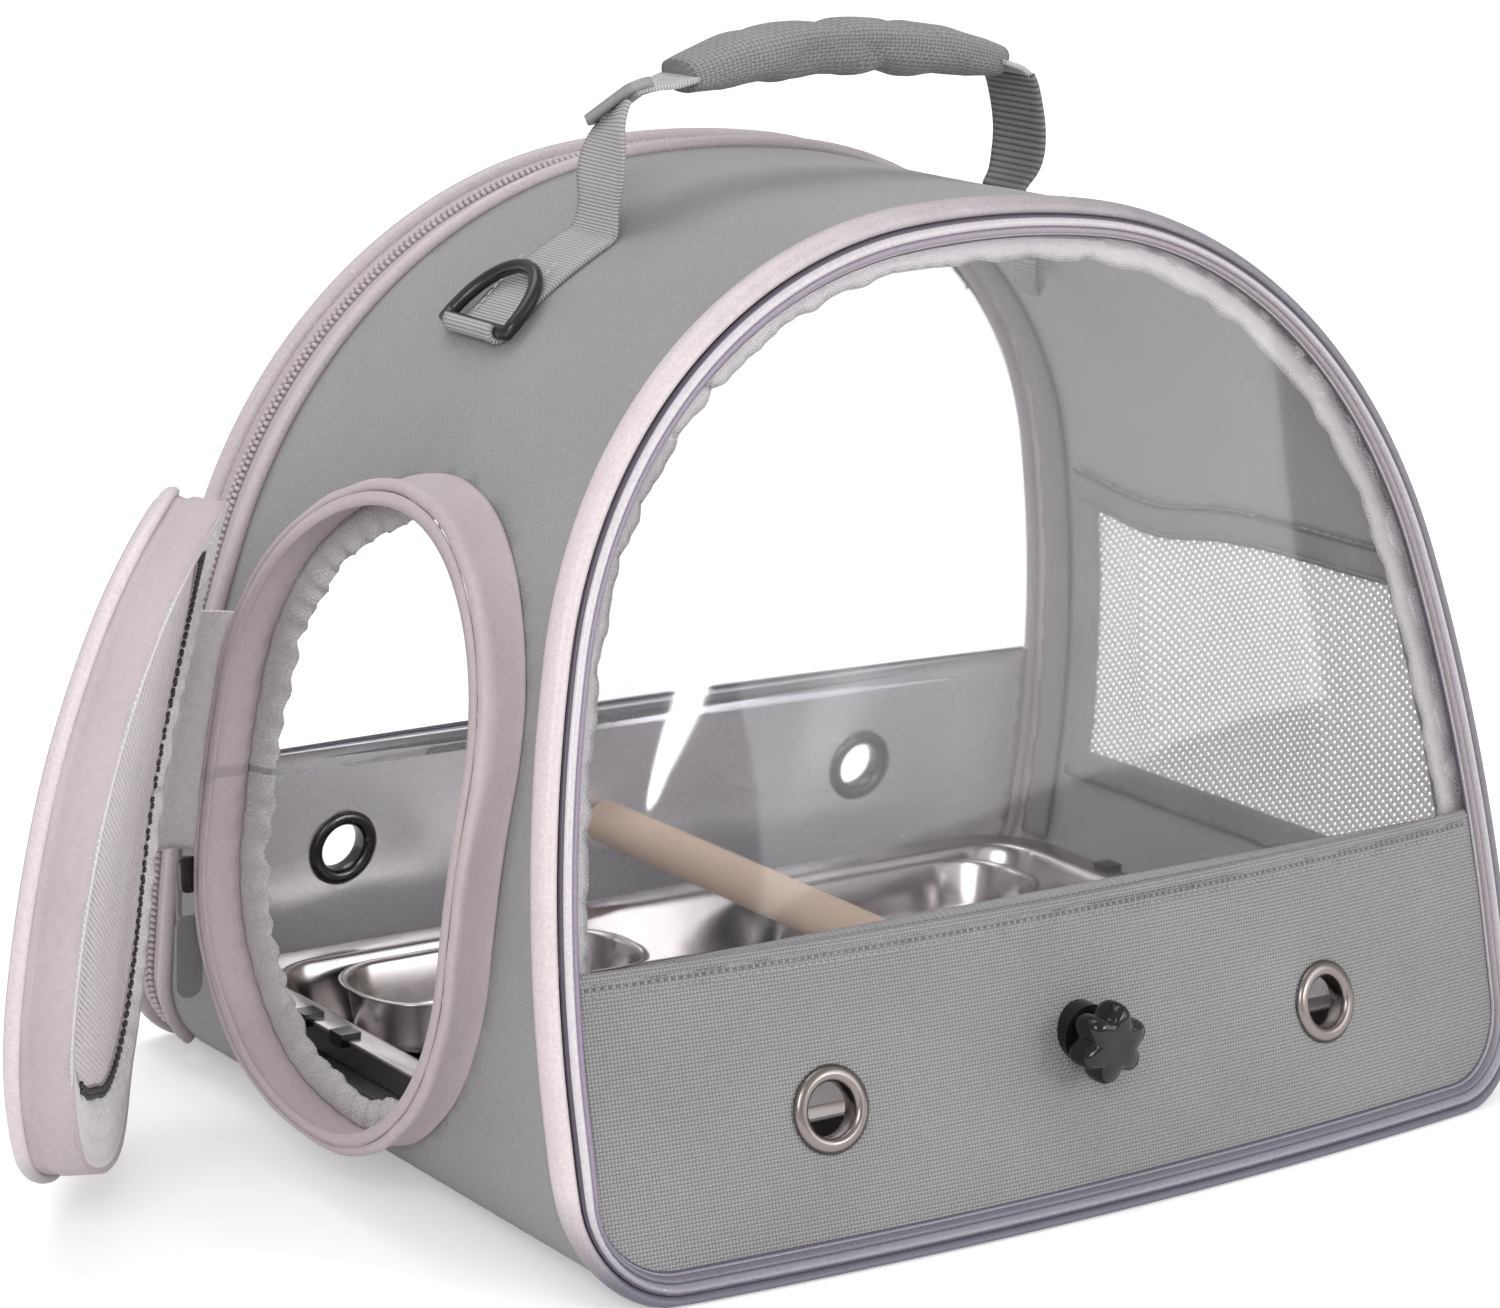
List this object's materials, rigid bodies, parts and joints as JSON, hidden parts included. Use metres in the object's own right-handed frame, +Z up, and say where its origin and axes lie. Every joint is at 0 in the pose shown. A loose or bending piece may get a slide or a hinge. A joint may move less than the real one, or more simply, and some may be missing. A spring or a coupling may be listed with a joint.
{
  "type": "bird travel carrier",
  "caption": "Soft-sided arched carrier for a small pet bird, with clear front and back, a mesh window, a zipped side door, a perch, a tray with cups and a carrying handle.",
  "frame": {"origin": "on the surface that the carrier stands on, under the middle of the base", "axes": "+Z up, +X to the right as seen from the front, the clear front faces -Y, the side door is at -X"},
  "size_m": [0.5057, 0.288, 0.3384],
  "materials": {
    "grey_oxford": "woven grey cloth, matt",
    "pink_webbing": "tightly woven pale binding",
    "grey_webbing": "ribbed webbing",
    "silver_lining": "silver coated cloth",
    "clear_sheet": "clear flexible sheet",
    "white_mesh": "fine open mesh",
    "grey_binding": "soft gathered binding",
    "stiff_board": "stiff board",
    "spring_steel": "plain",
    "stainless": "polished pressed sheet",
    "nickel": "bright nickel",
    "gunmetal": "dark plated",
    "black_plastic": "moulded, glossy",
    "grey_plastic": "moulded, satin",
    "zip_chain": "coil chain",
    "beech": "sanded, bare"
  },
  "bodies": {
    "carrier": {"gusset_shell": "grey_oxford", "base_board": "stiff_board", "floor_lining": "silver_lining", "front_window": "clear_sheet", "front_panel": "grey_oxford", "front_lining": "silver_lining", "front_hoop": "spring_steel", "front_piping": "pink_webbing", "front_welt": "clear_sheet", "front_eyelets": "nickel", "mesh_window": "white_mesh", "mesh_binding": "grey_binding", "door_collar": "pink_webbing", "collar_binding": "grey_binding", "collar_zip_tape": "pink_webbing", "hinge_strip": "pink_webbing", "rear_hoop": "spring_steel", "rear_seam_piping": "pink_webbing", "rear_zip_tape_fixed": "pink_webbing", "rear_zip_coil_fixed": "zip_chain", "perch": "beech", "perch_stud": "stainless", "knob_washer": "black_plastic", "strap_base_left": "grey_webbing", "strap_base_right": "grey_webbing", "hanging_loop": "pink_webbing"},
    "back_door": {"rear_zip_coil_door": "zip_chain", "rear_zip_tape_door": "pink_webbing", "rear_piping": "pink_webbing", "rear_window": "clear_sheet", "rear_panel": "grey_oxford", "rear_lining": "silver_lining", "rear_eyelets": "gunmetal"},
    "side_door": {"door_zip_tape": "pink_webbing", "door_band": "pink_webbing", "door_border": "grey_oxford", "door_piping": "pink_webbing", "door_mesh": "white_mesh", "door_binding": "grey_binding", "door_hinge_strip": "pink_webbing"},
    "handle": {"handle_strap": "grey_webbing", "handle_grip": "grey_oxford", "strap_slide": "grey_plastic"},
    "d_ring_l": {"d_ring_left": "grey_plastic"},
    "d_ring_r": {"d_ring_right": "grey_plastic"},
    "knob": {"star_knob": "black_plastic"},
    "tray_body": {"tray": "stainless", "tray_clips": "black_plastic"},
    "cup_l": {"food_cup": "stainless"},
    "cup_r": {"water_cup": "stainless"},
    "side_slider": {"side_zip_slider": "gunmetal"},
    "side_pull": {"side_zip_pull": "gunmetal"},
    "rear_slider": {"rear_zip_slider": "gunmetal"},
    "rear_pull": {"rear_zip_pull": "gunmetal"}
  },
  "joints": [
    {"name": "back_door_fold", "type": "hinge", "parent": "carrier", "child": "back_door", "pos_m": [0, 0.1395, 0], "axis": [-1, 0, 0], "range_deg": [0, 88]},
    {"name": "side_door_swing", "type": "hinge", "parent": "carrier", "child": "side_door", "pos_m": [-0.19847, 0.074, 0.122], "axis": [-0.02, -0.03, 0.9994], "range_deg": [-92, 37]},
    {"name": "handle_swing", "type": "hinge", "parent": "carrier", "child": "handle", "pos_m": [0, 0.02, 0.29419], "axis": [1, 0, 0], "range_deg": [-70, 70]},
    {"name": "left_ring_swing", "type": "hinge", "parent": "carrier", "child": "d_ring_l", "pos_m": [-0.12803, 0.02, 0.24903], "axis": [0, -1, 0], "range_deg": [0, 120]},
    {"name": "right_ring_swing", "type": "hinge", "parent": "carrier", "child": "d_ring_r", "pos_m": [0.11702, 0.02, 0.25862], "axis": [0, 1, 0], "range_deg": [0, 120]},
    {"name": "knob_turn", "type": "hinge", "parent": "carrier", "child": "knob", "pos_m": [-0.0045, -0.13662, 0.052], "axis": [0, -1, 0], "continuous": true},
    {"name": "tray_slide", "type": "slide", "parent": "carrier", "child": "tray_body", "axis": [0, 1, 0], "range_m": [-0.018, 0.014]},
    {"name": "food_cup_lift", "type": "slide", "parent": "tray_body", "child": "cup_l", "axis": [0, 0, 1], "range_m": [0, 0.08]},
    {"name": "water_cup_lift", "type": "slide", "parent": "tray_body", "child": "cup_r", "axis": [0, 0, 1], "range_m": [0, 0.08]},
    {"name": "side_slider_travel", "type": "hinge", "parent": "carrier", "child": "side_slider", "pos_m": [-0.19929, -0.012, 0.086], "axis": [-1, 0, 0], "range_deg": [0, 40]},
    {"name": "side_pull_swing", "type": "hinge", "parent": "side_slider", "child": "side_pull", "pos_m": [-0.19929, 0.0631, 0.07781], "axis": [1, 0, 0], "range_deg": [0, 110]},
    {"name": "rear_slider_travel", "type": "hinge", "parent": "carrier", "child": "rear_slider", "pos_m": [-0.28609, 0.11368, 0.052], "axis": [0, -0.9938, -0.1113], "range_deg": [0, 12]},
    {"name": "rear_pull_swing", "type": "hinge", "parent": "rear_slider", "child": "rear_pull", "pos_m": [0.18892, 0.11235, 0.06312], "axis": [0, -0.9938, -0.1113], "range_deg": [0, 110]}
  ]
}
